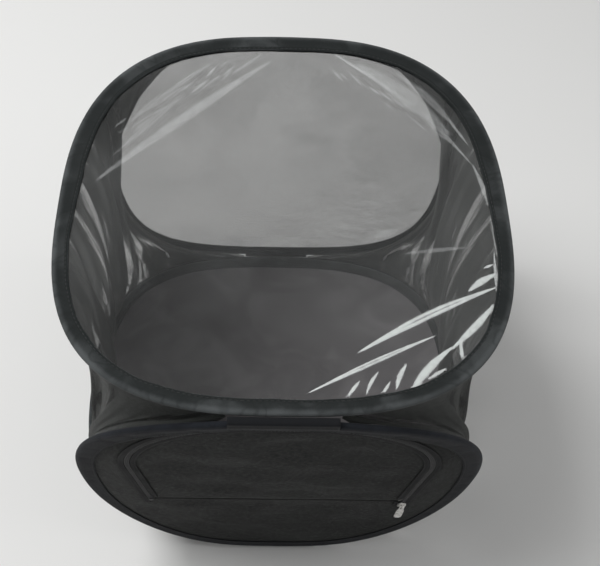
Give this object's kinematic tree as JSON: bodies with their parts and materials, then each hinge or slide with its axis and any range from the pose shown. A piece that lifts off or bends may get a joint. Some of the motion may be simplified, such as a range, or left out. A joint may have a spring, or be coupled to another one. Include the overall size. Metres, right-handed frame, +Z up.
{
  "type": "insect cage",
  "caption": "Pop-up mesh cage for insects: sprung hoops in fabric bindings, clear window on top, gathered mesh sides and a zipped door in the leaning front panel",
  "frame": {"origin": "on the ground, under the middle of the floor panel", "axes": "+Z up, -Y out of the front panel with the door, X along the hinge seams between the hoops"},
  "size_m": [0.442, 0.476, 0.4462],
  "materials": {
    "binding_tape": "matt black woven tape",
    "mesh": "matt black net",
    "floor_cloth": "dark grey nylon",
    "window_film": "clear glossy film",
    "spring_wire": "bare spring steel",
    "crimp_sleeve": "bare",
    "zip_tape": "matt black woven tape",
    "zip_teeth": "satin black",
    "zip_metal": "plated, lightly worn"
  },
  "bodies": {
    "floor_body": {"floor_back_seam": "binding_tape", "floor_binding": "binding_tape", "floor_front_seam": "binding_tape", "floor_sheet": "floor_cloth", "floor_sleeve": "crimp_sleeve", "floor_wire": "spring_wire", "side_mesh_left": "mesh", "side_mesh_right": "mesh"},
    "back_hoop": {"back_binding": "binding_tape", "back_mesh": "mesh", "back_sleeve": "crimp_sleeve", "back_wire": "spring_wire"},
    "front_hoop": {"front_binding": "binding_tape", "front_mesh": "mesh", "front_sleeve": "crimp_sleeve", "front_wire": "spring_wire", "zip_bottom_stop": "zip_metal", "zip_tape_frame": "zip_tape", "zip_tape_tail": "zip_tape", "zip_teeth_frame": "zip_teeth", "zip_teeth_tail": "zip_teeth"},
    "top_hoop": {"top_back_seam": "binding_tape", "top_binding": "binding_tape", "top_front_seam": "binding_tape", "top_sleeve": "crimp_sleeve", "top_window": "window_film", "top_wire": "spring_wire"},
    "door_flap": {"door_mesh": "mesh", "zip_tape_door": "zip_tape", "zip_teeth_door": "zip_teeth"},
    "slider": {"zip_slider": "zip_metal"},
    "pull": {"zip_pull": "zip_metal"}
  },
  "joints": [
    {"name": "back_fold", "type": "hinge", "parent": "floor_body", "child": "back_hoop", "pos_m": [0, 0.195, 0.0051], "axis": [1, 0, 0], "range_deg": [0, 68], "stiffness_Nm_per_rad": 0.6, "springref_deg": -68.75, "deforming": ["side_mesh_left", "side_mesh_right"]},
    {"name": "front_fold", "type": "hinge", "parent": "floor_body", "child": "front_hoop", "pos_m": [0, -0.195, 0.0051], "axis": [1, 0, 0], "range_deg": [0, 68]},
    {"name": "top_fold", "type": "hinge", "parent": "back_hoop", "child": "top_hoop", "pos_m": [0, 0.122, 0.4411], "axis": [1, 0, 0], "range_deg": [-68, 0]},
    {"name": "door_drop", "type": "hinge", "parent": "front_hoop", "child": "door_flap", "pos_m": [0, -0.22621, 0.19454], "axis": [1, 0, 0], "range_deg": [0, 115]},
    {"name": "slider_run", "type": "slide", "parent": "front_hoop", "child": "slider", "axis": [0.0767, -0.1646, 0.9834], "range_m": [0, 0.108], "deforming": ["zip_teeth_frame", "zip_teeth_door"]},
    {"name": "pull_swing", "type": "hinge", "parent": "slider", "child": "pull", "pos_m": [0.11688, -0.22739, 0.18615], "axis": [-0.9971, -0.0127, 0.0757], "range_deg": [-9, 170]}
  ],
  "couplings": [
    {"joint": "front_fold", "follows": "back_fold", "ratio": 1},
    {"joint": "top_fold", "follows": "back_fold", "ratio": -1}
  ]
}
